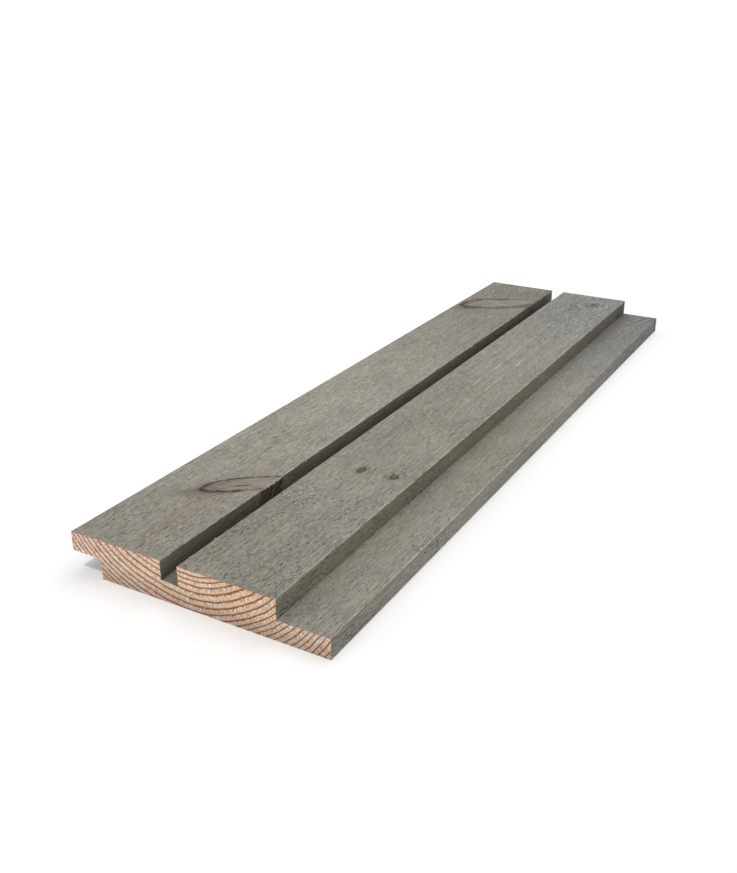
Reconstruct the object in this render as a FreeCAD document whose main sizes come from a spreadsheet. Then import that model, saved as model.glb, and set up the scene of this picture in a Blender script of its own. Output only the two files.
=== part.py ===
"""Shiplap cladding board with a shadow groove, planed from one length of softwood.

X runs across the board, from the overlapping lip to the tongue, Y runs along it, and Z goes up
from the back, which lies against the battens, to the face. The origin is the middle of the back.
"""

import os

import FreeCAD
import Part
import Sketcher

# Driving sizes in millimetres.
SIZES = {
    "board_length": 670.0,
    "board_width": 190.0,
    "board_thickness": 28.0,
    # The lip laps over the tongue of the board beside it.
    "lip_overhang": 23.0,
    "lip_thickness": 13.5,
    # Play between a lip and the tongue that it lies over.
    "lap_clearance": 0.5,
    # The flat strip of the face between the lip's edge and the groove.
    "first_strip_width": 71.0,
    # The groove is as wide as the gap that two lapped boards leave between their faces.
    "groove_width": 13.0,
    "groove_depth": 13.5,
    # The planer eases every long outer edge by this radius.
    "arris_radius": 0.5,
}

# Sizes and places worked out from the driving ones, as the sheet's own formulas.
WORKED_OUT = {
    "left_edge": "=-board_width / 2",
    "right_edge": "=board_width / 2",
    "lip_underside": "=board_thickness - lip_thickness",
    "tongue_thickness": "=lip_underside - lap_clearance",
    "tongue_reach": "=lip_overhang + groove_width",
    "tongue_root": "=right_edge - tongue_reach",
    "tongue_rebate_depth": "=board_thickness - tongue_thickness",
    "groove_left": "=left_edge + first_strip_width",
    "groove_floor": "=board_thickness - groove_depth",
}

# How close, in millimetres, an edge has to lie to a corner of the section to count as its arris.
PLACE_TOLERANCE = 1e-4


def make_sheet(doc):
    """Write every size to a spreadsheet, each value in a cell named by its alias."""
    sheet = doc.addObject("Spreadsheet::Sheet", "dimensions")
    for row, (name, value) in enumerate({**SIZES, **WORKED_OUT}.items(), start=1):
        sheet.set(f"A{row}", name)
        sheet.set(f"B{row}", str(value))
        sheet.setAlias(f"B{row}", name)
    doc.recompute()
    return sheet


def origin_plane(body, role):
    """Give one of the body's own origin planes."""
    return next(feature for feature in body.Origin.OriginFeatures if feature.Role == role)


def section_rectangle(body, name, left, bottom, width, height):
    """Sketch a rectangle of the cross-section, its place and size bound to the sheet.

    The sketch lies in the XZ plane: its own X runs across the board, and its own Y up
    through the thickness. Each of left, bottom, width and height is a formula over the sheet.
    """
    sketch = body.newObject("Sketcher::SketchObject", name)
    sketch.AttachmentSupport = [(origin_plane(body, "XZ_Plane"), "")]
    sketch.MapMode = "FlatFace"
    corners = [FreeCAD.Vector(x, y, 0) for x, y in ((0, 0), (1, 0), (1, 1), (0, 1))]
    for start, end in zip(corners, corners[1:] + corners[:1]):
        sketch.addGeometry(Part.LineSegment(start, end), False)
    bottom_line, right_line, top_line, left_line = range(4)
    line_start, line_end = 1, 2
    for line in range(4):
        following = (line + 1) % 4
        sketch.addConstraint(
            Sketcher.Constraint("Coincident", line, line_end, following, line_start)
        )
    for line in (bottom_line, top_line):
        sketch.addConstraint(Sketcher.Constraint("Horizontal", line))
    for line in (right_line, left_line):
        sketch.addConstraint(Sketcher.Constraint("Vertical", line))
    sketch_origin = (-1, 1)
    lower_left = (bottom_line, line_start)
    lower_right = (bottom_line, line_end)
    upper_left = (left_line, line_start)
    driven = (
        ("left", "DistanceX", sketch_origin, lower_left, left),
        ("bottom", "DistanceY", sketch_origin, lower_left, bottom),
        ("width", "DistanceX", lower_left, lower_right, width),
        ("height", "DistanceY", lower_left, upper_left, height),
    )
    for label, kind, start, end, formula in driven:
        index = sketch.addConstraint(Sketcher.Constraint(kind, *start, *end, 1.0))
        sketch.renameConstraint(index, label)
        sketch.setExpression(f"Constraints.{label}", formula)
    return sketch


def plane_blank(body):
    """Pad the plain planed plank, with its length either side of the origin."""
    section = section_rectangle(
        body,
        "blank_section",
        "dimensions.left_edge",
        "0 mm",
        "dimensions.board_width",
        "dimensions.board_thickness",
    )
    blank = body.newObject("PartDesign::Pad", "planed_blank")
    blank.Profile = section
    blank.SideType = "Symmetric"
    blank.setExpression("Length", "dimensions.board_length")
    return blank


def mill_through(body, name, left, bottom, width, height):
    """Mill a rectangle of the section away along the whole length."""
    section = section_rectangle(body, f"{name}_section", left, bottom, width, height)
    cut = body.newObject("PartDesign::Pocket", name)
    cut.Profile = section
    cut.SideType = "Symmetric"
    cut.setExpression("Length", "dimensions.board_length")
    return cut


def mill_section(body):
    """Mill the lip's rebate, the shadow groove and the tongue's rebate, in that order."""
    mill_through(
        body,
        "lip_rebate",
        "dimensions.left_edge",
        "0 mm",
        "dimensions.lip_overhang",
        "dimensions.lip_underside",
    )
    mill_through(
        body,
        "shadow_groove",
        "dimensions.groove_left",
        "dimensions.groove_floor",
        "dimensions.groove_width",
        "dimensions.groove_depth",
    )
    return mill_through(
        body,
        "tongue_rebate",
        "dimensions.tongue_root",
        "dimensions.tongue_thickness",
        "dimensions.tongue_reach",
        "dimensions.tongue_rebate_depth",
    )


def outer_corners(sheet):
    """Give the section's outer corners, as (x, z): the ones that the planer eases."""
    groove_right = sheet.groove_left + sheet.groove_width
    lip_root = sheet.left_edge + sheet.lip_overhang
    return (
        (sheet.left_edge, sheet.board_thickness),
        (sheet.left_edge, sheet.lip_underside),
        (lip_root, 0.0),
        (sheet.right_edge, 0.0),
        (sheet.right_edge, sheet.tongue_thickness),
        (sheet.tongue_root, sheet.board_thickness),
        (groove_right, sheet.board_thickness),
        (sheet.groove_left, sheet.board_thickness),
    )


def ease_arrises(body, milled, sheet):
    """Round the long outer edges; the inner corners stay as sharp as the cutters leave them."""
    corners = outer_corners(sheet)
    arrises = []
    for number, edge in enumerate(milled.Shape.Edges, start=1):
        box = edge.BoundBox
        runs_along_board = box.YLength > sheet.board_length - PLACE_TOLERANCE
        on_corner = any(
            abs(box.Center.x - x) < PLACE_TOLERANCE and abs(box.Center.z - z) < PLACE_TOLERANCE
            for x, z in corners
        )
        if runs_along_board and on_corner:
            arrises.append(f"Edge{number}")
    eased = body.newObject("PartDesign::Fillet", "eased_arrises")
    eased.Base = (milled, arrises)
    eased.setExpression("Radius", "dimensions.arris_radius")
    return eased


def make_board(doc, sheet):
    """Make the board the way the planing mill does: blank, three cuts, then the arrises."""
    body = doc.addObject("PartDesign::Body", "shiplap_board")
    body.Label = "shiplap_board"
    plane_blank(body)
    milled = mill_section(body)
    doc.recompute()
    ease_arrises(body, milled, sheet)
    doc.recompute()
    return body


def check_document(doc, bodies):
    """Stop on any failed object and on any body whose shape isn't one valid solid."""
    failed = [item.Name for item in doc.Objects if {"Invalid", "Error"} & set(item.State)]
    if failed:
        raise RuntimeError(f"these objects failed to build: {failed}")
    for body in bodies:
        if body.Shape.isNull() or not body.Shape.isValid() or len(body.Shape.Solids) != 1:
            raise RuntimeError(f"{body.Label} isn't one valid solid")


def main():
    doc = FreeCAD.newDocument("cladding")
    sheet = make_sheet(doc)
    bodies = [make_board(doc, sheet)]
    check_document(doc, bodies)
    os.makedirs("parts", exist_ok=True)
    for body in bodies:
        body.Shape.exportStep(os.path.join("parts", f"{body.Label}.step"))
        size = body.Shape.BoundBox
        print(
            f"{body.Label}: {size.XLength:.2f} x {size.YLength:.2f} x {size.ZLength:.2f} mm,"
            f" {body.Shape.Volume / 1000:.2f} cm3, {len(body.Shape.Faces)} faces"
        )


main()
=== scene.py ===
"""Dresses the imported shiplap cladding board: its worn arrises, knots, grey stain and sawn ends."""

import math
from collections import namedtuple

import bpy
from bpy.props import FloatProperty, FloatVectorProperty, IntProperty, PointerProperty
from mathutils import Matrix, Vector


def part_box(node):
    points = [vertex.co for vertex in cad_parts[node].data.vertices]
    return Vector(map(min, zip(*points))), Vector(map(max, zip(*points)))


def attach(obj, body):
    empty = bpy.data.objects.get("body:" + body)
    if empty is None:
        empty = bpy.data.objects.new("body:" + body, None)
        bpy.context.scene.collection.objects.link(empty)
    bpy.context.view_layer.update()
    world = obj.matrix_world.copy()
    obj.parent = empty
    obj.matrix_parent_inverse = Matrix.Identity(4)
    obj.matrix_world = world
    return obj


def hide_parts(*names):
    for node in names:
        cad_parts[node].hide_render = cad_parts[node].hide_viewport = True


bl_info = {
    "name": "Shiplap cladding board",
    "version": (1, 0, 0),
    "blender": (4, 5, 0),
    "location": "View3D > Sidebar > Cladding",
    "description": "A grey-stained softwood cladding board with a shadow groove",
    "category": "Object",
}

NODE = "shiplap_board"
BODY = "root"
BAKE_MAP = "OFBake"
MM = 0.001

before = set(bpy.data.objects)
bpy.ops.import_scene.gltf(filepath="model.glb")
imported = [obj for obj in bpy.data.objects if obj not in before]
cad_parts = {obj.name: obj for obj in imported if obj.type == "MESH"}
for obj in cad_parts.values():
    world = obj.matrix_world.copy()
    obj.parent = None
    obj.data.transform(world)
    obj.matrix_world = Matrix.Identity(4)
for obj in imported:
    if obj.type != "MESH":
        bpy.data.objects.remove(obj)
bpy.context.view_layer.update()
LOW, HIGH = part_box(NODE)
FACE = HIGH.z / MM
END = HIGH.y / MM

# The heart of the tree runs above the face. Places on the wood are in millimetres: X and Y from
# the board's middle, Z from its back.
PITH_X, PITH_Z = -6.2, 93.0
# The radius that each second ring had reached, and how many years after the innermost one
RING_GROWTH = (
    (60.0, -2.3), (68.0, 0.0), (74.7, 2.0), (83.8, 4.0), (92.3, 6.0), (99.8, 8.0),
    (106.3, 10.0), (112.8, 12.0), (120.0, 14.0), (126.0, 16.0), (132.5, 18.0), (146.0, 22.0),
)

# A branch cut along its length. Its outline is an oval, pointed to the left, sheared along the board.
SpikeKnot = namedtuple(
    "SpikeKnot", "x y half_left half_right half_along slope bluntness crack_x crack_y cut")
SPIKE_KNOTS = (
    SpikeKnot(-36.0, -225.6, 25.6, 18.0, 12.0, 0.75, 2.7, -0.12, -0.2, 1.0),
    SpikeKnot(-67.3, 252.4, 22.5, 42.0, 18.3, 0.59, 2.2, 0.16, 0.8, 0.0),
)
# A branch cut across
RoundKnot = namedtuple("RoundKnot", "x y half_across half_along")
SMALL_KNOTS = (
    RoundKnot(18.9, -169.8, 2.9, 4.9),
    RoundKnot(44.2, -168.2, 3.3, 3.9),
)
# Dark traces beside the small knots
KNOT_TRACES = (
    RoundKnot(40.8, -163.2, 1.6, 1.3),
    RoundKnot(39.2, -170.9, 2.2, 1.5),
    RoundKnot(22.2, -164.6, 1.6, 2.2),
)
SWIRL_KNOT = RoundKnot(34.0, 301.0, 12.0, 12.0)
SWIRL_HEART = RoundKnot(34.0, 301.5, 6.5, 11.0)
WARM_PATCH = RoundKnot(-49.0, -276.0, 9.0, 40.0)
ROUGH_PATCH = RoundKnot(3.0, -225.0, 13.0, 19.0)
COOL_PATCH = RoundKnot(-38.0, 302.0, 20.0, 18.0)
# Pale fibres that stand proud on the second strip: across, and from where to where along it
PALE_FIBRES = (
    (18.6, 5.0, 175.0), (32.4, 5.0, 175.0), (2.0, 94.0, 121.0), (16.0, 170.0, 248.0), (47.4, 198.0, 245.0),
)

# The section's lines in millimetres: the groove's two walls, the tongue's wall and its upper face
GROOVE_LEFT, GROOVE_RIGHT = -24.0, -11.0
TONGUE_WALL = 59.0
TONGUE_FACE = 14.0
SIDE = HIGH.x / MM
# Each long upper arris, across and up, and how pale its wear is
WORN_ARRISES = (
    (-SIDE, FACE, 0.3), (GROOVE_LEFT, FACE, 0.8), (GROOVE_RIGHT, FACE, 0.35), (TONGUE_WALL, FACE, 0.8),
    (SIDE, TONGUE_FACE, 0.65),
)
# Where loose fibres stand off: the arris's place across, the side they lean to, and from where to where
FIBRE_RUNS = (
    (GROOVE_LEFT, 1.0, 4 - END, END - 4), (GROOVE_RIGHT, -1.0, 4 - END, END - 4),
    (TONGUE_WALL, 1.0, 4 - END, END - 4), (GROOVE_LEFT, 1.0, -229.0, -206.0),
)

# The part of the bake map's height that the two sawn ends take, and how much less the back gets
ENDS_SHARE = 0.27
BACK_SHARE = 0.3
# In millimetres: how near points are joined, and how deep the bump of the grain looks
MERGE_GAP = 0.004
BUMP_DEPTH = 0.12
# An edge that turns by more degrees than this one is shaded sharp
SHARP_ANGLE = 35


def from_screen(red, green, blue):
    """A colour as a screen shows it, from 0 to 255, as the linear values that nodes take."""

    def linear(part):
        share = part / 255
        return share / 12.92 if share <= 0.04045 else ((share + 0.055) / 1.055) ** 2.4

    return (linear(red), linear(green), linear(blue))


def length(name, description, default):
    return FloatProperty(name=name, description=description, default=default * MM, unit="LENGTH")


def colour(name, description, screen):
    return FloatVectorProperty(
        name=name, description=description, default=from_screen(*screen),
        size=3, subtype="COLOR", min=0, max=1)


class BoardSizes(bpy.types.PropertyGroup):
    """The board's section and the wear on it."""

    lip_reach: length("Lip reach", "How far the lip laps over the next board", 23.0)
    lip_thickness: length("Lip thickness", "Thickness of the lip, from the face down", 13.5)
    first_strip: length("First strip", "From the lip's edge to the shadow groove", 71.0)
    groove_width: length("Groove width", "Width of the shadow groove", 13.0)
    groove_depth: length("Groove depth", "Depth of the shadow groove", 13.5)
    tongue_reach: length("Tongue reach", "How far the tongue stands out of the second strip", 36.0)
    tongue_thickness: length("Tongue thickness", "Thickness of the tongue, from the back up", 14.0)
    arris_radius: length("Arris radius", "Rounding of the outer long edges", 0.5)
    wear_depth: length("Wear depth", "How deep handling has dented the arrises", 0.12)
    grain_relief: length("Grain relief", "How far the soft grain lies below the hard grain", 0.07)
    face_cell: length("Face cell", "Width of a mesh cell on an upward face", 1.0)
    wall_cell: length("Wall cell", "Width of a mesh cell on an upright side", 2.0)
    back_cell: length("Back cell", "Width of a mesh cell on a downward face", 8.0)
    rows: IntProperty(name="Rows", description="Cross-sections along the board", default=350, min=2)


class FibreNumbers(bpy.types.PropertyGroup):
    """The loose fibres on the arrises."""

    count: IntProperty(name="Fibres", description="How many loose fibres there are", default=200, min=4)
    reach: length("Fibre length", "The longest fibre", 3.4)
    thickness: length("Fibre thickness", "A fibre's thickness at its root", 0.34)
    seed: IntProperty(name="Fibre seed", description="Another number scatters the fibres anew", default=7)


class BoardColours(bpy.types.PropertyGroup):
    """The colours of the stain and of the bare wood."""

    stain: colour("Stain", "The grey stain on the milled faces", (148, 144, 135))
    stain_in_pores: colour("Stain in pores", "The stain where open grain has held it", (70, 66, 60))
    earlywood: colour("Earlywood", "The pale wood between the growth rings", (234, 213, 191))
    latewood: colour("Latewood", "The dark line of each growth ring", (146, 66, 20))
    fibre: colour("Loose fibre", "Fibres that have come off the arrises", (214, 208, 196))


class Value:
    """An output of a node, on which Python's arithmetic adds Math nodes."""

    def __init__(self, net, socket):
        self.net = net
        self.socket = socket

    def other(self, name):
        """Another output of the same node."""
        return Value(self.net, self.socket.node.outputs[name])

    def __add__(self, other):
        return self.net.math("ADD", self, other)

    __radd__ = __add__

    def __sub__(self, other):
        return self.net.math("SUBTRACT", self, other)

    def __rsub__(self, other):
        return self.net.math("SUBTRACT", other, self)

    def __mul__(self, other):
        return self.net.math("MULTIPLY", self, other)

    __rmul__ = __mul__

    def __truediv__(self, other):
        return self.net.math("DIVIDE", self, other)

    def __rtruediv__(self, other):
        return self.net.math("DIVIDE", other, self)

    def __pow__(self, other):
        return self.net.math("POWER", self, other)

    def __abs__(self):
        return self.net.math("ABSOLUTE", self)

    def __gt__(self, other):
        return self.net.math("GREATER_THAN", self, other)

    def __lt__(self, other):
        return self.net.math("LESS_THAN", self, other)


class Net:
    """A node tree that is being built, for a material or for a shape."""

    def __init__(self, tree):
        self.tree = tree
        tree.nodes.clear()

    def node(self, kind, settings=None, sockets=None):
        """Adds a node, sets it up, fills or links its sockets and returns its first output in use."""
        made = self.tree.nodes.new(kind)
        for name, setting in (settings or {}).items():
            if name == "points":
                set_points(made.mapping, setting)
            elif name == "choices":
                while len(made.index_switch_items) < setting:
                    made.index_switch_items.new()
            else:
                setattr(made, name, setting)
        for key, given in (sockets or {}).items():
            for one in given if isinstance(given, list) else [given]:
                self.fill(find_socket(made, key), one)
        used = [out for out in made.outputs if out.enabled]
        return Value(self, used[0]) if used else None

    def fill(self, socket, given):
        if isinstance(given, Value):
            self.tree.links.new(given.socket, socket)
        elif socket.type == "RGBA":
            socket.default_value = (*given[:3], 1)
        else:
            socket.default_value = given

    def math(self, operation, *parts):
        return self.node("ShaderNodeMath", {"operation": operation}, dict(enumerate(parts)))

    def vector_math(self, operation, *parts):
        return self.node("ShaderNodeVectorMath", {"operation": operation}, dict(enumerate(parts)))

    def scaled(self, vector, factor):
        """A vector or colour times a number."""
        return self.node("ShaderNodeVectorMath", {"operation": "SCALE"}, {0: vector, "Scale": factor})

    def point(self, x=0.0, y=0.0, z=0.0):
        return self.node("ShaderNodeCombineXYZ", None, {"X": x, "Y": y, "Z": z})

    def parts(self, vector):
        split = self.node("ShaderNodeSeparateXYZ", None, {0: vector})
        return split, split.other("Y"), split.other("Z")

    def smooth(self, value, start, end):
        """0 up to start, 1 from end on and an even S between them; start may be the larger."""
        return self.node(
            "ShaderNodeMapRange", {"interpolation_type": "SMOOTHSTEP"},
            {"Value": value, "From Min": start, "From Max": end, "To Min": 0.0, "To Max": 1.0})

    def noise(self, place, size, detail=2.0, roughness=0.5, seed=0.0):
        """Noise from 0 to 1 in spots of this size, in millimetres, one number or one for each axis."""
        across = size if isinstance(size, tuple) else (size,) * 3
        scaled = self.node(
            "ShaderNodeVectorMath", {"operation": "MULTIPLY_ADD"},
            {0: place, 1: tuple(1 / part for part in across), 2: (seed, seed * 1.7, seed * 2.3)})
        return self.node(
            "ShaderNodeTexNoise", None,
            {"Vector": scaled, "Scale": 1.0, "Detail": detail, "Roughness": roughness})

    def mix(self, share, first, second, blend="MIX"):
        """The first colour, with this share of the second."""
        return self.node(
            "ShaderNodeMix", {"data_type": "RGBA", "blend_type": blend},
            {"Factor": share, "A": first, "B": second})


def set_points(mapping, points):
    """Gives a float curve these (across, up) points."""
    curve = mapping.curves[0]
    while len(curve.points) < len(points):
        curve.points.new(1.0, 1.0)
    for point, place in zip(curve.points, points, strict=True):
        point.location = place
    mapping.update()


def find_socket(node, key):
    """The input with this number, or the first one in use with this name."""
    if isinstance(key, int):
        return node.inputs[key]
    return next(socket for socket in node.inputs if socket.name == key and socket.enabled)


def clamped(value):
    return value.net.math("MINIMUM", value.net.math("MAXIMUM", value, 0.0), 1.0)


def millimetres(net, position):
    return net.vector_math("MULTIPLY", position, (1 / MM,) * 3)


# Features of the wood that its shape and its colours share


def oval_radius(net, place, knot):
    """0 at a round knot's middle and 1 on its outline."""
    x, y, _ = net.parts(place)
    u = (x - knot.x) / knot.half_across
    v = (y - knot.y) / knot.half_along
    return (u * u + v * v) ** 0.5


def spike_place(net, place, knot):
    """Where a place lies along a spike knot, -1 at its tip, and across it, 1 on its far side."""
    x, y, z = net.parts(place)
    across = x - knot.x
    along = y - knot.y - across * knot.slope + (FACE - z) * 0.3
    left = net.math("MINIMUM", across, 0.0) / knot.half_left
    right = net.math("MAXIMUM", across, 0.0) / knot.half_right
    return left + right, along / knot.half_along


def spike_radius(net, place, knot):
    """0 in a spike knot's middle, 1 on its toothed outline and much more past the shadow groove."""
    x, _, _ = net.parts(place)
    u, v = spike_place(net, place, knot)
    bends = net.noise(place, (9.0, 9.0, 9.0), 1.0, seed=knot.half_along) - 0.5
    teeth = net.noise(place, (1.3, 2.0, 1.6), 2.0, 0.6, seed=knot.half_left) - 0.5
    past = net.smooth(x, GROOVE_LEFT + 1.0, GROOVE_LEFT + 4.0)
    oval = (abs(u) ** knot.bluntness + abs(v) ** knot.bluntness) ** (1 / knot.bluntness)
    return oval + (bends * 0.12 + teeth * 0.14) * (1 - near_tip(net, u) * 0.6) + past * 9.0


def near_tip(net, u):
    """1 at a spike knot's tip, where a step along the knot counts for less of its outline."""
    return net.smooth(u, -0.6, -0.95)


def arris_dents(net, place):
    """1 where handling has dented an arris, each arris with dents of its own."""
    pattern = net.noise(place, (15.0, 14.0, 15.0), 3.0, 0.6, seed=131.0)
    return net.smooth(pattern, 0.6, 0.74)


def nearest_gap(net, x, z, spots):
    """Distance in the section to the nearest of these spots."""
    nearest = None
    for across, up in spots:
        right, above = x - across, z - up
        gap = (right * right + above * above) ** 0.5
        nearest = gap if nearest is None else net.math("MINIMUM", nearest, gap)
    return nearest


def past_tongue_wall(net, x):
    """0 on the second strip and 1 on the tongue and on its wall."""
    return net.smooth(x, TONGUE_WALL - 0.4, TONGUE_WALL + 0.2)


# The board's shape


def section_corners(given):
    """The section's corners from the back's lip side round by the tongue, and whether each is eased."""
    left, right = given["Width"] * -0.5, given["Width"] * 0.5
    top = given["Thickness"]
    lip = left + given["Lip reach"]
    lip_under = top - given["Lip thickness"]
    tongue = right - given["Tongue reach"]
    lip_side = left + given["First strip"]
    tongue_side = lip_side + given["Groove width"]
    floor = top - given["Groove depth"]
    shelf = given["Tongue thickness"]
    return (
        (lip, 0.0, True), (right, 0.0, True), (right, shelf, True), (tongue, shelf, False),
        (tongue, top, True), (tongue_side, top, True), (tongue_side, floor, False), (lip_side, floor, False),
        (lip_side, top, True), (left, top, True), (left, lip_under, True), (lip, lip_under, False),
    )


def choose(net, index, choices):
    """The number that stands at this index."""
    made = net.node(
        "GeometryNodeIndexSwitch", {"data_type": "FLOAT", "choices": len(choices)}, {"Index": index})
    for number, choice in enumerate(choices):
        net.fill(made.socket.node.inputs[number + 1], choice)
    return made


def section_curve(net, given, corners):
    """The section as a closed curve in the XY plane: its corners, eased and divided into cells."""
    index = net.node("GeometryNodeInputIndex")
    across, up, eased = (
        choose(net, index, [float(part) if isinstance(part, bool) else part for part in column])
        for column in zip(*corners, strict=True))
    points = net.node("GeometryNodePoints", None, {"Count": len(corners), "Position": net.point(across, up)})
    curve = net.node("GeometryNodePointsToCurves", None, {"Points": points})
    curve = net.node("GeometryNodeSetSplineCyclic", None, {"Geometry": curve, "Cyclic": True})
    curve = net.node(
        "GeometryNodeFilletCurve", {"mode": "POLY"},
        {"Curve": curve, "Count": 3, "Radius": eased * given["Arris radius"]})
    return net.node(
        "GeometryNodeSubdivideCurve", None, {"Curve": curve, "Cuts": cuts_for(net, given, curve)})


def cuts_for(net, given, curve):
    """How many points divide each straight side: most on the upward faces, fewest on the downward ones."""
    index = net.node("GeometryNodeInputIndex")
    count = net.node("GeometryNodeAttributeDomainSize", {"component": "CURVE"}, {"Geometry": curve})
    position = net.node("GeometryNodeInputPosition")
    following = net.node(
        "GeometryNodeFieldAtIndex", {"data_type": "FLOAT_VECTOR", "domain": "POINT"},
        {"Value": position, "Index": net.math("MODULO", index + 1, count)})
    run, rise, _ = net.parts(net.vector_math("SUBTRACT", following, position))
    reach = (run * run + rise * rise) ** 0.5
    level = abs(rise) < 0.01 * MM
    upward = run < 0.0
    cell = level * (given["Face cell"] * upward + given["Back cell"] * (1 - upward))
    cell = cell + (1 - level) * given["Wall cell"]
    straight = reach > given["Arris radius"]
    return straight * (net.math("CEIL", reach / cell) - 1)


def at_column(net, curve, value, column, kind):
    """What the section's curve has at this point of it."""
    return net.node(
        "GeometryNodeSampleIndex", {"data_type": kind, "domain": "POINT"},
        {"Geometry": curve, "Value": value, "Index": column})


def swept_sides(net, given, curve):
    """The long faces: a sheet of cells wrapped round the section, with the map that its colours bake to."""
    count = net.node("GeometryNodeAttributeDomainSize", {"component": "CURVE"}, {"Geometry": curve})
    sheet = net.node(
        "GeometryNodeMeshGrid", None,
        {"Size X": 1.0, "Size Y": 1.0, "Vertices X": count + 1, "Vertices Y": given["Rows"]})
    x, y, _ = net.parts(net.node("GeometryNodeInputPosition"))
    along = y + 0.5
    column = net.math("ROUND", (x + 0.5) * count)
    wrapped = net.math("MODULO", column, count)
    place = at_column(net, curve, net.node("GeometryNodeInputPosition"), wrapped, "FLOAT_VECTOR")
    across, up, _ = net.parts(place)
    whole = net.node("GeometryNodeCurveLength", None, {"Curve": curve})
    walked = at_column(net, curve, net.node("GeometryNodeSplineParameter").other("Length"), wrapped, "FLOAT")
    walked = walked + whole * (column > count - 0.5)
    back = given["Width"] - given["Lip reach"]
    kept = walked - (1 - BACK_SHARE) * net.math("MINIMUM", walked, back)
    share = kept / (whole - (1 - BACK_SHARE) * back)
    place_on_map = net.point(along * 0.996 + 0.002, share * (0.998 - ENDS_SHARE) + ENDS_SHARE)
    sheet = store_map(net, sheet, place_on_map)
    sheet = net.node(
        "GeometryNodeSetPosition", None,
        {"Geometry": sheet, "Position": net.point(across, (along - 0.5) * given["Length"], up)})
    sheet = net.node("GeometryNodeFlipFaces", None, {"Mesh": sheet})
    return net.node("GeometryNodeSetMaterial", None, {"Geometry": sheet, "Material": given["Faces"]})


def store_map(net, shape, place):
    return net.node(
        "GeometryNodeStoreNamedAttribute", {"data_type": "FLOAT2", "domain": "CORNER"},
        {"Geometry": shape, "Name": BAKE_MAP, "Value": place})


def sawn_end(net, given, curve, side):
    """One end of the board, as the section filled in; side is -1 for the near end and 1 for the far one."""
    cap = net.node("GeometryNodeFillCurve", {"mode": "NGONS"}, {"Curve": curve})
    across, up, _ = net.parts(net.node("GeometryNodeInputPosition"))
    row = 0.004 + (side + 1) / 2 * ENDS_SHARE / 2
    high = (ENDS_SHARE / 2 - 0.012) / given["Thickness"]
    place_on_map = net.point(across / given["Width"] * 0.99 + 0.5, up * high + row)
    cap = store_map(net, cap, place_on_map)
    cap = net.node(
        "GeometryNodeSetPosition", None,
        {"Geometry": cap, "Position": net.point(across, given["Length"] * (side / 2), up)})
    if side > 0:
        cap = net.node("GeometryNodeFlipFaces", None, {"Mesh": cap})
    return net.node("GeometryNodeSetMaterial", None, {"Geometry": cap, "Material": given["Ends"]})


def worn(net, given, shape, corners):
    """The board with dented arrises, raised grain, and the long knots' outlines cracked and chipped into it.
    """
    position = net.node("GeometryNodeInputPosition")
    place = millimetres(net, position)
    x, _, z = net.parts(position)
    across, _, up = net.parts(net.node("GeometryNodeInputNormal"))
    outward = net.vector_math("NORMALIZE", net.point(across, 0.0, up))
    gap = nearest_gap(net, x, z, [(c[0], c[1]) for c in corners if c[2]])
    dents = arris_dents(net, place) * net.smooth(gap, 2.4 * MM, 0.3 * MM) * given["Wear depth"]
    grain = net.noise(place, (1.9, 22.0, 1.9), 3.0, 0.6, seed=61.0)
    away = net.smooth(gap, 0.6 * MM, 2.0 * MM) * (up > 0.5)
    depth = dents + grain * away * given["Grain relief"]
    for knot in SPIKE_KNOTS:
        radius = spike_radius(net, place, knot)
        crack = net.smooth(abs(radius - 1.0), 0.13, 0.0) * (up > 0.5)
        broken = net.smooth(abs(radius - 0.9), 0.3, 0.0) * net.smooth(gap, 3.0 * MM, 0.0)
        chips = net.noise(place, (3.0, 2.6, 3.0), 2.0, 0.6, seed=141.0)
        depth = depth + crack * 0.18 * MM + broken * net.smooth(chips, 0.4, 0.7) * 0.8 * MM
    return net.node(
        "GeometryNodeSetPosition", None,
        {"Geometry": shape, "Offset": net.scaled(outward, depth * -1)})


def open_tree(name, inputs):
    """A new tree for a shape, with its named inputs as values, and each input's identifier."""
    tree = bpy.data.node_groups.new(name, "GeometryNodeTree")
    net = Net(tree)
    tree.interface.new_socket(name="Shape", in_out="OUTPUT", socket_type="NodeSocketGeometry")
    kinds = {float: "NodeSocketFloat", int: "NodeSocketInt", bpy.types.Material: "NodeSocketMaterial"}
    identifiers = {}
    for title, value in inputs.items():
        made = tree.interface.new_socket(name=title, in_out="INPUT", socket_type=kinds[type(value)])
        identifiers[title] = made.identifier
    source = tree.nodes.new("NodeGroupInput")
    return net, {title: Value(net, source.outputs[title]) for title in inputs}, identifiers


def grow(name, net, shape, identifiers, inputs):
    """What a tree makes with these inputs, as an object with a plain mesh."""
    net.node("NodeGroupOutput", None, {"Shape": shape})
    piece = bpy.data.objects.new(name, bpy.data.meshes.new(name))
    bpy.context.scene.collection.objects.link(piece)
    modifier = piece.modifiers.new("shape", "NODES")
    modifier.node_group = net.tree
    for title, value in inputs.items():
        modifier[identifiers[title]] = value
    evaluated = piece.evaluated_get(bpy.context.evaluated_depsgraph_get())
    mesh = bpy.data.meshes.new_from_object(evaluated)
    piece.modifiers.remove(modifier)
    piece.data = mesh
    return piece


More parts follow.
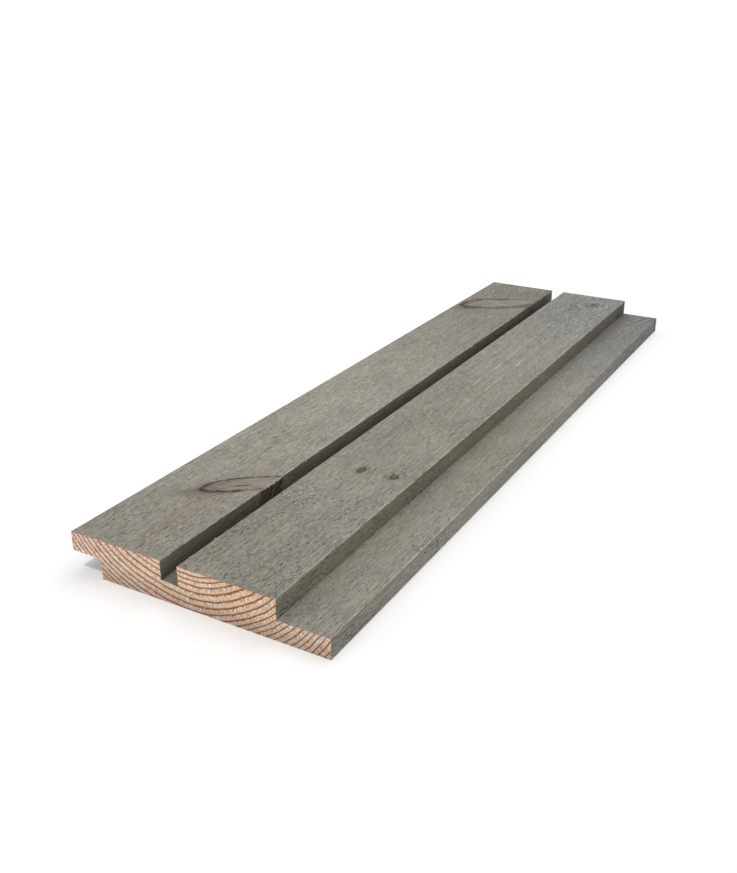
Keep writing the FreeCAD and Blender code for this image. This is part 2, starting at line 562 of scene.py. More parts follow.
def make_board(sizes, faces, ends):
    """The board, swept along its section and worn."""
    inputs = {
        "Length": HIGH.y - LOW.y, "Width": HIGH.x - LOW.x, "Thickness": HIGH.z - LOW.z,
        "Lip reach": sizes.lip_reach, "Lip thickness": sizes.lip_thickness,
        "First strip": sizes.first_strip,
        "Groove width": sizes.groove_width, "Groove depth": sizes.groove_depth,
        "Tongue reach": sizes.tongue_reach, "Tongue thickness": sizes.tongue_thickness,
        "Arris radius": sizes.arris_radius, "Wear depth": sizes.wear_depth,
        "Grain relief": sizes.grain_relief, "Face cell": sizes.face_cell, "Wall cell": sizes.wall_cell,
        "Back cell": sizes.back_cell, "Rows": sizes.rows, "Faces": faces, "Ends": ends,
    }
    net, given, identifiers = open_tree("milled_board", inputs)
    corners = section_corners(given)
    curve = section_curve(net, given, corners)
    parts = [swept_sides(net, given, curve), sawn_end(net, given, curve, -1), sawn_end(net, given, curve, 1)]
    shape = net.node("GeometryNodeJoinGeometry", None, {"Geometry": parts[::-1]})
    shape = net.node("GeometryNodeMergeByDistance", None, {"Geometry": shape, "Distance": MERGE_GAP * MM})
    shape = worn(net, given, shape, corners)
    shape = net.node("GeometryNodeSetShadeSmooth", None, {"Geometry": shape, "Shade Smooth": True})
    board = grow("weathered_board", net, shape, identifiers, inputs)
    board.data.set_sharp_from_angle(angle=math.radians(SHARP_ANGLE))
    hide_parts(NODE)
    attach(board, BODY)
    return board


def make_fibres(numbers, material):
    """Short fibres that have come loose along the arrises and lean out of them."""
    inputs = {
        "Count": numbers.count, "Length": numbers.reach, "Thickness": numbers.thickness,
        "Seed": numbers.seed, "Level": HIGH.z, "Fibre": material,
    }
    net, given, identifiers = open_tree("loose_fibres", inputs)
    index = net.node("GeometryNodeInputIndex")

    def chance(low, high, number):
        return net.node(
            "FunctionNodeRandomValue", {"data_type": "FLOAT"},
            {"Min": low, "Max": high, "ID": index, "Seed": given["Seed"] + number})

    run = net.math("MODULO", index, len(FIBRE_RUNS))
    across, lean, start, stop = (choose(net, run, list(column)) for column in zip(*FIBRE_RUNS, strict=True))
    along = start + (stop - start) * chance(0.0, 1.0, 1)
    place = net.point(across * MM, along * MM, given["Level"] - chance(0.15 * MM, 0.6 * MM, 2))
    points = net.node("GeometryNodePoints", None, {"Count": given["Count"], "Position": place})
    spike = net.node(
        "GeometryNodeMeshCone", {"fill_type": "NGON"},
        {"Vertices": 4, "Radius Top": 0.1, "Radius Bottom": 0.5, "Depth": 1.0})
    ahead = (chance(0.0, 1.0, 3) > 0.5) * 2 - 1
    dip = chance(math.radians(90), math.radians(102), 4)
    turn = chance(math.radians(6), math.radians(38), 5)
    angles = net.point(dip * ahead * -1, 0.0, turn * ahead * lean * -1)
    rotation = net.node("FunctionNodeEulerToRotation", None, {"Euler": angles})
    size = net.point(given["Thickness"], given["Thickness"], given["Length"] * chance(0.25, 1.0, 6))
    shape = net.node(
        "GeometryNodeInstanceOnPoints", None,
        {"Points": points, "Instance": spike, "Rotation": rotation, "Scale": size})
    shape = net.node("GeometryNodeRealizeInstances", None, {"Geometry": shape})
    shape = net.node("GeometryNodeSetMaterial", None, {"Geometry": shape, "Material": given["Fibre"]})
    fibres = grow("loose_fibres", net, shape, identifiers, inputs)
    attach(fibres, BODY)


# The wood's colours


def ring_count(net, place):
    """Growth rings from the heart out, as a number that grows by one each year, and their radius."""
    x, y, z = net.parts(place)
    along = net.smooth(y, 1 - END, 100 - END)
    across = x - PITH_X
    up = PITH_Z - z
    angle = net.math("ARCTAN2", across, up) * (180 / math.pi)
    waves = net.math("SINE", (angle + 2.5) * (2 * math.pi / 50)) * -0.65
    squash = net.math("MAXIMUM", angle - 34.0, 0.0)
    ripple = net.noise(place, (7.0, 120.0, 7.0), 2.0, 0.5, seed=7.0) - 0.5
    drift = net.noise(place, (60.0, 300.0, 60.0), 1.0, seed=11.0) - 0.5
    radius = (across * across + up * up) ** 0.5
    radius = radius + waves + squash * squash * 0.012 + ripple * 1.0 + drift * along * 9.0
    (r0, n0), (r1, n1) = RING_GROWTH[0], RING_GROWTH[-1]
    points = [((r - r0) / (r1 - r0), (n - n0) / (n1 - n0)) for r, n in RING_GROWTH]
    count = net.node("ShaderNodeFloatCurve", {"points": points}, {"Value": (radius - r0) / (r1 - r0)})
    return count * (n1 - n0) + n0, net.point(angle * 1.9, y, radius)


def end_grain(net, place, colours):
    """Bare end grain: pale earlywood, dark ring lines with torn outer sides and cut fibre ends, with painted
    shade towards the bottom.
    """
    x, _, z = net.parts(place)
    count, round_heart = ring_count(net, place)
    year = net.math("FLOOR", count + 0.5)
    within = count + 0.5 - year
    tearing = net.noise(round_heart, (0.8, 9.0, 2.6), 2.0, 0.6, seed=21.0) - 0.5
    strength = net.noise(net.point(year * 3.7), 1.0, 0.0, seed=5.0)
    even = net.smooth(x, 30.0, 60.0)
    outer = tearing * (0.9 - even * 0.6) + 0.67
    inner = even * 0.05 + 0.35
    line = net.smooth(within, inner, inner + 0.09) * net.smooth(within, outer, outer - 0.07)
    soft = net.noise(place, (1.3, 9.0, 1.3), 2.0, 0.6, seed=31.0)
    line = clamped(line * (strength * 1.6 + 0.5) * (soft * 1.2 + 0.8 + even * 0.4))
    tone = net.noise(place, (12.0, 60.0, 9.0), 2.0, 0.5, seed=41.0)
    sunny = net.smooth(x, -42.0, 0.0) * net.smooth(x, 72.0, 44.0) * net.smooth(z, 2.0, 18.0)
    pale = net.mix(clamped(sunny * 0.8 + (tone - 0.5) * 1.4), colours.earlywood, from_screen(236, 204, 166))
    stroke = net.noise(round_heart, (0.55, 9.0, 1.7), 1.0, 0.5, seed=51.0)
    cell = net.noise(place, (0.45, 9.0, 0.45), 1.0, 0.5, seed=53.0)
    torn = stroke + (cell - 0.5) * 0.6
    # Painted shade: the pale wood turns a little darker towards the bottom.
    pale = net.mix(net.smooth(z, 16.0, 3.0) * 0.5, pale, from_screen(226, 202, 172))
    fresh = net.smooth(within, 0.58, 0.7) * 0.4 + 0.6
    pale = net.mix(net.smooth(torn, 0.51, 0.59) * fresh, pale, from_screen(252, 246, 236))
    pale = net.mix(net.smooth(torn, 0.48, 0.38) * fresh * 0.9, pale, from_screen(188, 138, 92))
    dark = net.mix(net.smooth(soft, 0.45, 0.7), colours.latewood, from_screen(174, 94, 42))
    colour = net.mix(line, pale, dark)
    glow = net.smooth(within, 0.06, 0.34) * net.smooth(within, 0.86, 0.62) * 0.16
    colour = net.mix(glow, colour, from_screen(212, 146, 92))
    rim = net.math("MAXIMUM", net.smooth(z, FACE - 0.9, FACE - 0.2), net.smooth(x, 0.9 - SIDE, 0.2 - SIDE))
    colour = net.mix(rim * net.smooth(tone + soft * 0.5, 0.6, 0.85) * 0.7, colour, from_screen(190, 116, 70))
    # Painted shade: the whole end darker towards the bottom, and a little towards the tongue.
    colour = net.scaled(colour, net.smooth(z, -2.0, 18.0) * 0.34 + 0.66 - net.smooth(x, -30.0, 60.0) * 0.05)
    return colour, stroke * 0.6 + cell * 0.3 - line * 0.3


def bent_grain(net, place):
    """The place pushed across to where its fibres lie when no knot bends them."""
    x, y, z = net.parts(place)
    pushed = x
    for knot in (*SMALL_KNOTS, SWIRL_KNOT):
        radius = net.math("MAXIMUM", oval_radius(net, place, knot), 1.0)
        pushed = pushed - (x - knot.x) * 0.8 / (radius * radius)
    for knot in SPIKE_KNOTS:
        u, v = spike_place(net, place, knot)
        pushed = pushed - (x - knot.x) * 0.3 / net.math("MAXIMUM", u * u + v * v, 1.0)
    return net.point(pushed, y, z)


def base_stain(net, place, colours):
    """The stain's colour, browner on the walls, with painted light on it: painted shade towards both ends,
    in the groove and by the tongue's wall, a painted cooler sheen at the far end and a painted lighter outer
    side.
    """
    x, y, z = net.parts(place)
    _, _, up = net.parts(net.node("ShaderNodeTexCoord").other("Normal"))
    wall = net.smooth(up, 0.7, 0.3)
    groove = net.smooth(x, GROOVE_LEFT - 0.3, GROOVE_LEFT) * net.smooth(x, GROOVE_RIGHT + 0.3, GROOVE_RIGHT)
    groove = groove * net.smooth(z, FACE - 0.5, FACE - 0.9)
    middle = net.smooth(y, -215.0, -150.0) * net.smooth(y, 90.0, 0.0)
    near = net.smooth(y, 150 - END, 10 - END)
    far = net.smooth(y, 0.0, END - 20)
    shelf = past_tongue_wall(net, x)
    tint = net.noise(place, (18.0, 46.0, 18.0), 3.0, 0.5, seed=85.0)
    stain = net.mix(clamped((tint - 0.34) * 1.9), colours.stain, from_screen(156, 150, 134))
    # Painted sheen: the far end turns a cooler, more neutral grey.
    stain = net.mix(far * net.smooth(x, -60.0, 40.0) * 0.8, stain, from_screen(148, 149, 146))
    cool = net.smooth(oval_radius(net, place, COOL_PATCH), 1.4, 0.4)
    stain = net.mix(cool * 0.6, stain, from_screen(124, 127, 125))
    inner = net.smooth(x, SIDE - 0.1, SIDE - 0.8)
    wall = wall * inner * net.smooth(x, 20.0, 40.0)
    stain = net.mix(wall * 0.55, stain, from_screen(142, 136, 117))
    # Painted shade on the tongue by the foot of its wall.
    painted_corner_shade = net.smooth(x, TONGUE_WALL + 18, TONGUE_WALL) * shelf * (1 - wall)
    second_strip = net.smooth(x, GROOVE_LEFT, GROOVE_RIGHT)
    # Painted shade where the light falls off: darker towards both ends and, on the walls, towards the far
    # end.
    dark = near * (0.11 - wall * 0.07 - shelf * 0.03 - groove * 0.09) + painted_corner_shade * 0.16
    dark = dark + far * (0.27 - second_strip * 0.1 + shelf * 0.16 - groove * 0.15)
    dark = dark + second_strip * (1 - shelf) * 0.04 + middle * (second_strip * 0.13 - 0.05)
    dark = dark + wall * (net.smooth(y, 20 - END, 180 - END) * 0.06 + far * 0.08 - 0.04)
    # Painted light: the outer side lighter, less so towards the ends.
    dark = dark - (1 - inner) * (0.16 - far * 0.16 - near * 0.09)
    # Painted shade: the groove's walls darker the deeper they go.
    dark = dark + groove * (net.smooth(z, 25.0, 15.0) * 0.32 + 0.14)
    warm = net.smooth(oval_radius(net, place, WARM_PATCH), 1.8, 0.0)
    patches = net.noise(place, (3.0, 50.0, 3.0), 2.0, 0.6, seed=87.0)
    stain = net.mix(warm * net.smooth(patches, 0.1, 0.7), stain, from_screen(140, 126, 113))
    return net.scaled(stain, 1 - dark)


def stained_face(net, place, colours):
    """Grey stain on planed softwood: fibre, pores, blotches, pale fibres and knots."""
    x, y, _ = net.parts(place)
    grain = bent_grain(net, place)
    fibre = net.noise(grain, (0.65, 13.0, 0.65), 0.0, seed=61.0)
    strand = net.noise(grain, (0.5, 6.0, 0.5), 0.0, seed=63.0)
    speck = net.noise(grain, (0.65, 1.0, 0.65), 0.0, seed=65.0)
    streak = net.noise(grain, (1.0, 90.0, 1.0), 2.0, 0.55, seed=71.0)
    blotch = net.noise(place, (20.0, 46.0, 20.0), 2.0, 0.55, seed=81.0)
    second_strip = net.smooth(x, GROOVE_RIGHT - 1, GROOVE_RIGHT)
    shelf = past_tongue_wall(net, x)
    near = net.smooth(y, 280 - END, 60 - END)
    far = net.smooth(y, 40.0, END - 20)
    contrast = second_strip * near * 0.08 + far * 0.45 + 0.94
    tone = (fibre - 0.5) * 0.75 + (strand - 0.5) * (0.95 - second_strip * near * (0.3 - shelf * 0.15))
    tone = tone + (speck - 0.5) * 0.75 + (streak - 0.5) * 0.6
    tone = tone * (1 - shelf * (0.2 - near * 0.12))
    tone = tone * contrast + (blotch - 0.5) * 0.4
    colour = net.scaled(base_stain(net, place, colours), tone + 0.945)
    zone = net.noise(place, (20.0, 50.0, 20.0), 2.0, 0.5, seed=91.0)
    pit = net.noise(grain, (0.5, 3.6, 0.5), 0.0, seed=101.0)
    pits = net.smooth(pit + (zone - 0.5) * 0.3 + second_strip * near * (0.065 - shelf * 0.04), 0.71, 0.74)
    colour = net.mix(pits * 0.9, colour, colours.stain_in_pores)
    fleck = net.noise(grain, (0.5, 9.0, 0.5), 1.0, 0.5, seed=111.0)
    colour = net.mix(net.smooth(fleck, 0.64, 0.76) * 0.55, colour, from_screen(184, 181, 172))
    colour = with_pale_fibres(net, place, colour)
    colour = with_worn_arrises(net, place, colour)
    colour, rough = with_rough_patch(net, place, colour)
    for knot in SMALL_KNOTS:
        colour = with_small_knot(net, place, colour, knot)
    for knot in KNOT_TRACES:
        trace = net.smooth(oval_radius(net, place, knot) + (speck - 0.5) * 1.6, 1.2, 0.7)
        colour = net.mix(trace * 0.7, colour, from_screen(98, 86, 74))
    colour = with_swirl_knot(net, place, colour)
    colour = with_far_corner(net, place, colour)
    for knot in SPIKE_KNOTS:
        colour = with_spike_knot(net, place, colour, knot)
    return colour, fibre * 0.8 + strand * 0.3 - pits * 0.9 + rough


def with_pale_fibres(net, place, colour):
    """Adds the long pale fibres on the second strip."""
    x, y, z = net.parts(place)
    sway = (net.noise(place, (60.0, 90.0, 60.0), 1.0, seed=161.0) - 0.5) * 5.0
    broken = net.smooth(net.noise(place, (6.0, 16.0, 6.0), 2.0, 0.6, seed=163.0), 0.38, 0.55)
    for across, start, stop in PALE_FIBRES:
        line = net.smooth(abs(x - across + sway), 0.75, 0.2)
        reach = net.smooth(y, start, start + 12) * net.smooth(y, stop, stop - 12) * (z > FACE - 1)
        colour = net.mix(line * reach * broken * 0.7, colour, from_screen(186, 183, 174))
    return colour


def with_worn_arrises(net, place, colour):
    """Adds the pale broken wear on the long arrises."""
    x, y, z = net.parts(place)
    breaks = net.noise(place, (40.0, 5.0, 40.0), 3.0, 0.65, seed=151.0)
    wear = clamped(net.smooth(breaks, 0.4, 0.56) + arris_dents(net, place) * 0.4)
    wear = wear * (1 - net.smooth(y, -180.0, END) * 0.6) * (1 - net.smooth(y, -220.0, -300.0) * 0.5)
    for across, up, strength in WORN_ARRISES:
        line = net.smooth(nearest_gap(net, x, z, [(across, up)]), 0.75, 0.3) * wear
        colour = net.mix(line * strength, colour, from_screen(206, 205, 196))
    return colour


def with_rough_patch(net, place, colour):
    """Adds the curly torn grain on the second strip, and gives its height too."""
    _, _, z = net.parts(place)
    patch = net.smooth(oval_radius(net, place, ROUGH_PATCH), 1.6, 0.5) * (z > FACE - 1)
    warped = net.node(
        "ShaderNodeTexNoise", None,
        {"Vector": net.scaled(place, 1 / 1.6), "Scale": 1.0, "Detail": 1.0,
         "Roughness": 0.6, "Distortion": 1.0})
    colour = net.mix(patch * 0.3, colour, from_screen(128, 121, 113))
    colour = net.mix(patch * net.smooth(warped, 0.46, 0.38) * 0.75, colour, from_screen(84, 80, 73))
    colour = net.mix(patch * net.smooth(warped, 0.58, 0.66) * 0.8, colour, from_screen(192, 190, 182))
    return colour, (warped - 0.5) * patch * 2


def with_small_knot(net, place, colour, knot):
    """Adds a small dark knot with a darker ring and an eye."""
    _, _, z = net.parts(place)
    edge = net.noise(place, (1.5, 2.4, 1.5), 2.0, 0.6, seed=knot.half_along * 5)
    radius = oval_radius(net, place, knot) + (edge - 0.5) * 1.5 + (FACE - z) * 0.2
    colour = net.mix(net.smooth(radius, 2.3, 1.0) * 0.3, colour, from_screen(132, 124, 111))
    colour = net.mix(net.smooth(radius, 1.25, 0.8), colour, from_screen(88, 79, 67))
    ring = net.smooth(abs(radius - 0.8), 0.34, 0.1)
    whole = net.noise(place, (2.2, 3.4, 2.2), 1.0, seed=knot.half_along * 5 + 2)
    colour = net.mix(ring * net.smooth(whole, 0.38, 0.52) * 0.9, colour, from_screen(60, 52, 43))
    eye = net.smooth(radius, 0.45, 0.1) * net.smooth(whole, 0.5, 0.4)
    return net.mix(eye, colour, from_screen(118, 109, 95))


def with_swirl_knot(net, place, colour):
    """Adds the far knot: a small brown heart with pale and dark rings of fibre round it."""
    x, y, z = net.parts(place)
    shape = net.noise(place, (9.0, 9.0, 9.0), 2.0, 0.5, seed=171.0) - 0.5
    broken = net.noise(place, (3.0, 5.0, 3.0), 2.0, 0.6, seed=173.0)
    radius = oval_radius(net, place, SWIRL_KNOT) + shape * 0.6 + (FACE - z) * 0.4
    heart = oval_radius(net, place, SWIRL_HEART) + shape * 1.2 + (FACE - z) * 0.4
    brown = net.smooth(heart, 1.2, 0.5) * net.smooth(broken, 0.2, 0.55)
    colour = net.mix(brown * 0.7, colour, from_screen(101, 93, 85))
    side = net.smooth(y - x * 0.4, 300.0, 284.0) * net.smooth(broken, 0.35, 0.6)
    pale = net.smooth(abs(radius - 1.22), 0.17, 0.05)
    dark = net.smooth(abs(radius - 1.5), 0.2, 0.05)
    colour = net.mix(pale * (side * 0.4 + 0.12), colour, from_screen(172, 171, 164))
    colour = net.mix(dark * (side * 0.6 + 0.1), colour, from_screen(92, 91, 88))
    return net.mix(net.smooth(heart, 0.65, 0.25) * 0.95, colour, from_screen(56, 48, 42))


def with_far_corner(net, place, colour):
    """Adds the slanting streaks and the dark and pale marks by the tongue's far end, with painted shade at
    the foot of the tongue's wall.
    """
    x, y, z = net.parts(place)
    shake = net.noise(place, (4.0, 5.0, 4.0), 2.0, 0.6, seed=191.0) - 0.5
    slant = y - 318.0 - (x - 83.0) * 2.5 + shake * 7.0
    shelf = (x > TONGUE_WALL + 0.1) * (z < TONGUE_FACE + 1)
    zone = net.smooth(abs(slant), 17.0, 8.0) * net.smooth(y, 296.0, 306.0) * shelf
    lines = net.math("SINE", slant * 0.36 + 0.6)
    colour = net.mix(zone * net.smooth(lines, -0.1, 0.7) * 0.65, colour, from_screen(72, 69, 66))
    colour = net.mix(zone * net.smooth(lines, -0.2, -0.9) * 0.4, colour, from_screen(168, 164, 155))
    # Painted shade along the foot of the tongue's wall towards the far end.
    painted_foot_shade = shelf * net.smooth(x, TONGUE_WALL + 16, TONGUE_WALL + 2) * net.smooth(y, 190.0, 280.0)
    colour = net.mix(painted_foot_shade * 0.5, colour, from_screen(104, 96, 85))
    blue = net.smooth(x, SIDE - 8.0, SIDE - 3.0) * net.smooth(y, 308.0, 322.0) * shelf
    colour = net.mix(blue * 0.55, colour, from_screen(84, 88, 97))
    wall = net.smooth(abs(x - TONGUE_WALL), 0.5, 0.1) * (z > TONGUE_FACE) * (z < FACE - 0.6)
    bands = net.noise(place, (30.0, 3.0, 30.0), 1.0, seed=193.0)
    wall = wall * net.smooth(y, 303.0, 312.0) * (net.smooth(bands, 0.4, 0.55) * 0.45 + 0.3)
    colour = net.mix(wall, colour, from_screen(62, 65, 70))
    side = net.smooth(x, SIDE - 0.5, SIDE - 0.1) * net.smooth(abs(y - 320.0), 7.0, 4.0)
    return net.mix(side * 0.5, colour, from_screen(158, 146, 128))


def with_spike_knot(net, place, colour, knot):
    """Adds a long knot: its heart, a broken bark line, a brown halo and its cut in the groove."""
    x, _, z = net.parts(place)
    u, v = spike_place(net, place, knot)
    radius = spike_radius(net, place, knot)
    inside = net.smooth(radius, 1.06, 0.94)
    along_knot = net.point(u * knot.half_left, v * knot.half_along * 0.7, z)
    strand = net.noise(along_knot, (7.0, 1.1, 3.0), 2.0, 0.6, seed=knot.half_along + 1)
    blush = net.noise(place, (9.0, 9.0, 9.0), 2.0, 0.5, seed=knot.half_along + 2)
    halo = net.smooth(radius, 1.9, 1.0) * net.smooth(v, 0.1, -0.6) * (net.smooth(u, 0.5, -0.6) * 0.6 + 0.2)
    colour = net.mix(clamped(halo * 1.1), colour, from_screen(108, 98, 87))
    rosy = net.smooth(abs(radius - 1.1), 0.3, 0.05) * net.smooth(v, 0.0, 0.5)
    colour = net.mix(rosy * 0.35, colour, from_screen(146, 126, 108))
    heart = net.mix(net.smooth(strand, 0.35, 0.65), from_screen(118, 109, 99), from_screen(153, 144, 132))
    heart = net.mix(net.smooth(blush, 0.5, 0.75) * 0.4, heart, from_screen(148, 131, 117))
    heart = net.mix(net.smooth(blush, 0.48, 0.3) * 0.6, heart, from_screen(112, 100, 89))
    heart = net.scaled(heart, net.smooth(u, -1.0, 0.3) * 0.3 + 0.76)
    colour = net.mix(inside * 0.9, colour, heart)
    crack = net.smooth(abs(v - knot.crack_y + (blush - 0.5) * 0.4), 0.16, 0.05)
    crack = crack * net.smooth(abs(u - knot.crack_x), 0.2, 0.1) * inside
    colour = net.mix(crack * 0.85, colour, from_screen(74, 62, 53))
    breaks = net.noise(place, (5.0, 5.0, 5.0), 2.0, 0.6, seed=knot.half_along + 3)
    lower = net.smooth(v, 0.3, -0.5)
    width = lower * net.smooth(u, 0.3, -0.1) * (1 - near_tip(net, u)) * 0.07
    width = width + net.smooth(u, 0.1, -0.5) * (1 - knot.cut) * 0.05
    width = width + 0.1 * (1 - near_tip(net, u) * 0.5)
    bark = net.smooth(abs(radius - 1.0), width * 1.5, width * 0.5)
    bark = bark * (net.smooth(breaks, 0.4, 0.56) * 0.5 + 0.5)
    bark = bark * (1 - lower * net.smooth(u, -0.1, 0.3) * knot.cut * 0.5)
    bark = bark * (1 - net.smooth(u, 0.3, 0.8) * (1 - knot.cut) * (0.85 - lower * 0.45))
    tip = net.smooth(u, -0.76, -0.92) * net.smooth(radius, 1.15, 0.95)
    colour = net.mix(tip * 0.6, colour, from_screen(66, 54, 45))
    colour = net.mix(bark, colour, from_screen(46, 36, 30))
    fuzz = net.smooth(abs(radius - 1.14), 0.32, 0.14) * lower * net.smooth(u, -0.05, 0.25)
    fuzz = fuzz * (z > FACE - 0.6) * (1 - knot.cut)
    tufts = net.noise(place, (1.6, 3.2, 1.6), 1.0, seed=knot.half_along + 5)
    colour = net.mix(fuzz * 0.9, colour, from_screen(70, 68, 64))
    colour = net.mix(fuzz * net.smooth(tufts, 0.56, 0.64) * 0.8, colour, from_screen(176, 175, 168))
    cut = net.smooth(z, FACE - 0.2, FACE - 1.6) * net.smooth(radius, 1.3, 1.1)
    depth = (FACE - z) * (FACE - z) * 0.006
    folds = net.math("SINE", (v + depth) * 9.0 + (blush - 0.5) * 14.0)
    fade = net.noise(place, (4.0, 2.0, 4.0), 2.0, 0.6, seed=knot.half_along + 4)
    cut = cut * (knot.cut * 0.9 + 0.1)
    colour = net.mix(cut * 0.8, colour, net.mix(fade, from_screen(58, 53, 48), from_screen(98, 90, 80)))
    cut = cut * knot.cut
    dark_fold = net.smooth(folds, 0.3, 0.9) * net.smooth(fade, 0.3, 0.5)
    colour = net.mix(cut * dark_fold * 0.8, colour, from_screen(52, 46, 41))
    colour = net.mix(cut * net.smooth(folds, -0.85, -1.0) * fade, colour, from_screen(170, 160, 144))
    gap = nearest_gap(net, x, z, [(GROOVE_LEFT, FACE)])
    edge = net.smooth(gap, 1.6, 0.8) * net.smooth(radius, 1.3, 1.1)
    splinters = net.noise(place, (0.9, 1.5, 0.9), 1.0, seed=knot.half_along + 6)
    return net.mix(edge * net.smooth(splinters, 0.59, 0.63) * knot.cut, colour, from_screen(214, 209, 198))


def wood_material(name, kind, colours):
    """A wood material from the colour and height that kind(net, place, colours) gives."""
    material = bpy.data.materials.new(name)
    material.use_nodes = True
    net = Net(material.node_tree)
    place = millimetres(net, net.node("ShaderNodeTexCoord").other("Object"))
    colour, height = kind(net, place, colours)
    bump = net.node("ShaderNodeBump", None, {"Strength": 0.4, "Distance": BUMP_DEPTH * MM, "Height": height})
    shader = net.node(
        "ShaderNodeBsdfPrincipled", None,
        {"Base Color": colour, "Roughness": 0.72, "Normal": bump, "Specular IOR Level": 0.3})
    net.node("ShaderNodeOutputMaterial", None, {"Surface": shader})
    return material


def loose_fibre(net, place, colours):
    """A pale dry fibre, greyer where the stain has reached it."""
    stained = net.noise(place, (2.0, 2.0, 2.0), 1.0, seed=181.0)
    return net.mix(net.smooth(stained, 0.4, 0.7), colours.fibre, colours.stain), stained


# The stage


# The camera's place in metres, its turns in degrees, its focal length and picture in pixels, and its
# sensor in millimetres
CAMERA_PLACE = (0.33533, -0.71903, 0.33768)
CAMERA_TURN = 29.489
CAMERA_DIP = 24.122
CAMERA_ROLL = 0.149
FOCAL_PIXELS = 1001.56
PICTURE_HEIGHT = 873
SENSOR = 36.0
# Each wide light's name, azimuth, elevation, strength and softness, with the angles in degrees
LIGHTS = (
    ("key", 0.0, 66.0, 1.05, 5.0), ("back", 180.0, 62.0, 0.8, 50.0), ("fill", -25.0, 14.0, 0.4, 30.0),
)
WORLD_STRENGTH = 0.42
# How far the floor reaches, in metres, and how far it lies below the board, in millimetres
FLOOR_REACH = 60.0
FLOOR_GAP = 0.05


def add_camera():
    """A camera where the photograph's stood, as its perspective tells."""
    data = bpy.data.cameras.new("camera")
    data.sensor_width = SENSOR
    data.lens = FOCAL_PIXELS * SENSOR / PICTURE_HEIGHT
    camera = bpy.data.objects.new("camera", data)
    bpy.context.scene.collection.objects.link(camera)
    turn = Matrix.Rotation(math.radians(CAMERA_TURN), 4, "Z")
    dip = Matrix.Rotation(math.radians(90 - CAMERA_DIP), 4, "X")
    roll = Matrix.Rotation(math.radians(CAMERA_ROLL), 4, "Z")
    camera.matrix_world = Matrix.Translation(CAMERA_PLACE) @ turn @ dip @ roll
    bpy.context.scene.camera = camera


def add_sun(name, azimuth, elevation, strength, softness):
    """A wide soft light; azimuth 0 comes from the camera's side of the board, 90 from its tongue side."""
    data = bpy.data.lights.new(name, "SUN")
    data.energy = strength
    data.angle = math.radians(softness)
    sun = bpy.data.objects.new(name, data)
    bpy.context.scene.collection.objects.link(sun)
    turn, lift = math.radians(azimuth), math.radians(elevation)
    towards = Vector((math.sin(turn) * math.cos(lift), -math.cos(turn) * math.cos(lift), math.sin(lift)))
    sun.rotation_euler = towards.to_track_quat("Z", "Y").to_euler()


def seen_ray(net):
    """1 for what the camera sees, itself or in gloss or through glass, and 0 for light on its way."""
    path = net.node("ShaderNodeLightPath")
    return clamped(path + path.other("Is Glossy Ray") + path.other("Is Transmission Ray"))


def add_world(strength):
    """Even light from all round, and white where the camera looks past the floor."""
    world = bpy.data.worlds.new("studio")
    world.use_nodes = True
    net = Net(world.node_tree)
    dome = net.node("ShaderNodeBackground", None, {"Color": (1, 1, 1), "Strength": strength})
    white = net.node("ShaderNodeBackground", None, {"Color": (1, 1, 1), "Strength": 1.0})
    both = net.node("ShaderNodeMixShader", None, {0: seen_ray(net), 1: dome, 2: white})
    net.node("ShaderNodeOutputWorld", None, {"Surface": both})
    bpy.context.scene.world = world


def add_floor():
    """A white floor that keeps the board's shadow."""
    mesh = bpy.data.meshes.new("floor")
    corners = [(-1, -1), (1, -1), (1, 1), (-1, 1)]
    level = LOW.z - FLOOR_GAP * MM
    mesh.from_pydata([(x * FLOOR_REACH, y * FLOOR_REACH, level) for x, y in corners], [], [(0, 1, 2, 3)])
    floor = bpy.data.objects.new("floor", mesh)
    bpy.context.scene.collection.objects.link(floor)
    material = bpy.data.materials.new("white_floor")
    material.use_nodes = True
    net = Net(material.node_tree)
    bounce = net.node("ShaderNodeBsdfDiffuse", None, {"Color": (0.75, 0.75, 0.75)})
    shown = net.node("ShaderNodeBsdfDiffuse", None, {"Color": (1.0, 1.0, 1.0)})
    white = net.node("ShaderNodeEmission", None, {"Color": (1, 1, 1), "Strength": 1.4})
    shown = net.node("ShaderNodeMixShader", None, {0: 0.12, 1: shown, 2: white})
    both = net.node("ShaderNodeMixShader", None, {0: seen_ray(net), 1: bounce, 2: shown})
    net.node("ShaderNodeOutputMaterial", None, {"Surface": both})
    mesh.materials.append(material)


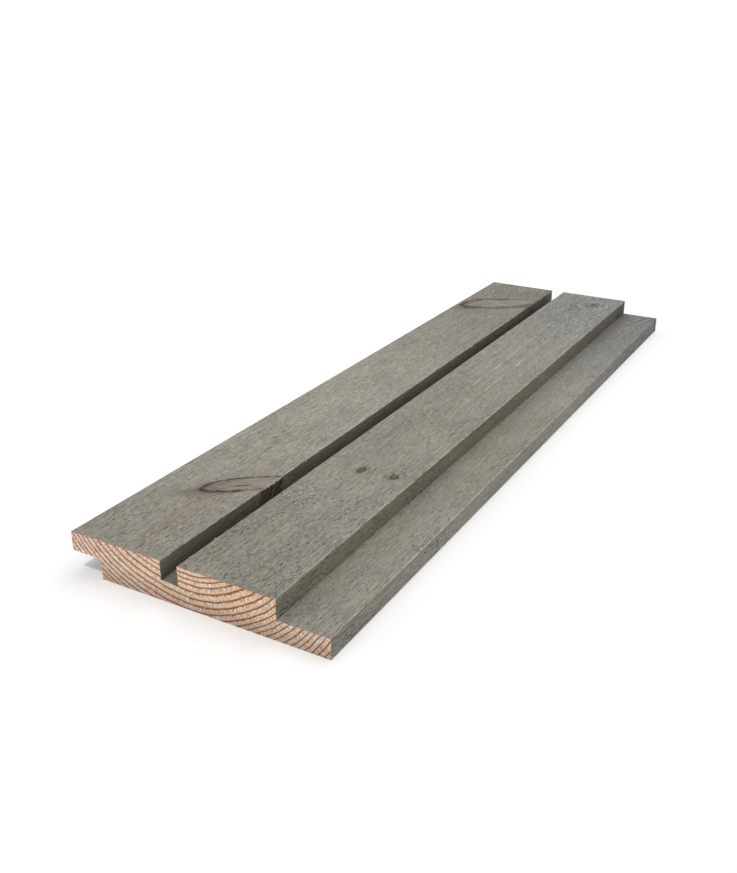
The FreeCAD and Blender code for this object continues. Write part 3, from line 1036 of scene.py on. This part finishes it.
class CLADDING_OT_board(bpy.types.Operator):
    """Adds the board in place of the plain packed one"""

    bl_idname = "cladding.board"
    bl_label = "Add the board"

    def execute(self, context):
        scene = context.scene
        faces = wood_material("grey_stained_faces", stained_face, scene.board_colours)
        ends = wood_material("sawn_end_grain", end_grain, scene.board_colours)
        make_board(scene.board_sizes, faces, ends)
        return {"FINISHED"}


class CLADDING_OT_fibres(bpy.types.Operator):
    """Adds the loose fibres along the arrises"""

    bl_idname = "cladding.fibres"
    bl_label = "Add the loose fibres"

    def execute(self, context):
        scene = context.scene
        make_fibres(scene.fibre_numbers, wood_material("loose_fibre", loose_fibre, scene.board_colours))
        return {"FINISHED"}


class CLADDING_OT_stage(bpy.types.Operator):
    """Adds the camera, the soft light and the white floor"""

    bl_idname = "cladding.stage"
    bl_label = "Add the stage"

    def execute(self, context):
        context.scene.view_settings.view_transform = "Standard"
        add_camera()
        add_world(WORLD_STRENGTH)
        for light in LIGHTS:
            add_sun(*light)
        add_floor()
        return {"FINISHED"}


class CLADDING_PT_panel(bpy.types.Panel):
    """The board's sizes and colours, and a button for each part of the scene"""

    bl_label = "Cladding board"
    bl_space_type = "VIEW_3D"
    bl_region_type = "UI"
    bl_category = "Cladding"

    def draw(self, context):
        scene = context.scene
        for group in (scene.board_sizes, scene.fibre_numbers, scene.board_colours):
            for name in type(group).__annotations__:
                self.layout.prop(group, name)
        self.layout.operator(CLADDING_OT_board.bl_idname)
        self.layout.operator(CLADDING_OT_fibres.bl_idname)
        self.layout.operator(CLADDING_OT_stage.bl_idname)


CLASSES = (
    BoardSizes, FibreNumbers, BoardColours,
    CLADDING_OT_board, CLADDING_OT_fibres, CLADDING_OT_stage, CLADDING_PT_panel,
)


def register():
    for made in CLASSES:
        bpy.utils.register_class(made)
    bpy.types.Scene.board_sizes = PointerProperty(type=BoardSizes)
    bpy.types.Scene.fibre_numbers = PointerProperty(type=FibreNumbers)
    bpy.types.Scene.board_colours = PointerProperty(type=BoardColours)


def unregister():
    del bpy.types.Scene.board_sizes
    del bpy.types.Scene.fibre_numbers
    del bpy.types.Scene.board_colours
    for made in reversed(CLASSES):
        bpy.utils.unregister_class(made)


def main():
    register()
    bpy.ops.cladding.board()
    bpy.ops.cladding.fibres()
    bpy.ops.cladding.stage()


if __name__ == "__main__":
    main()
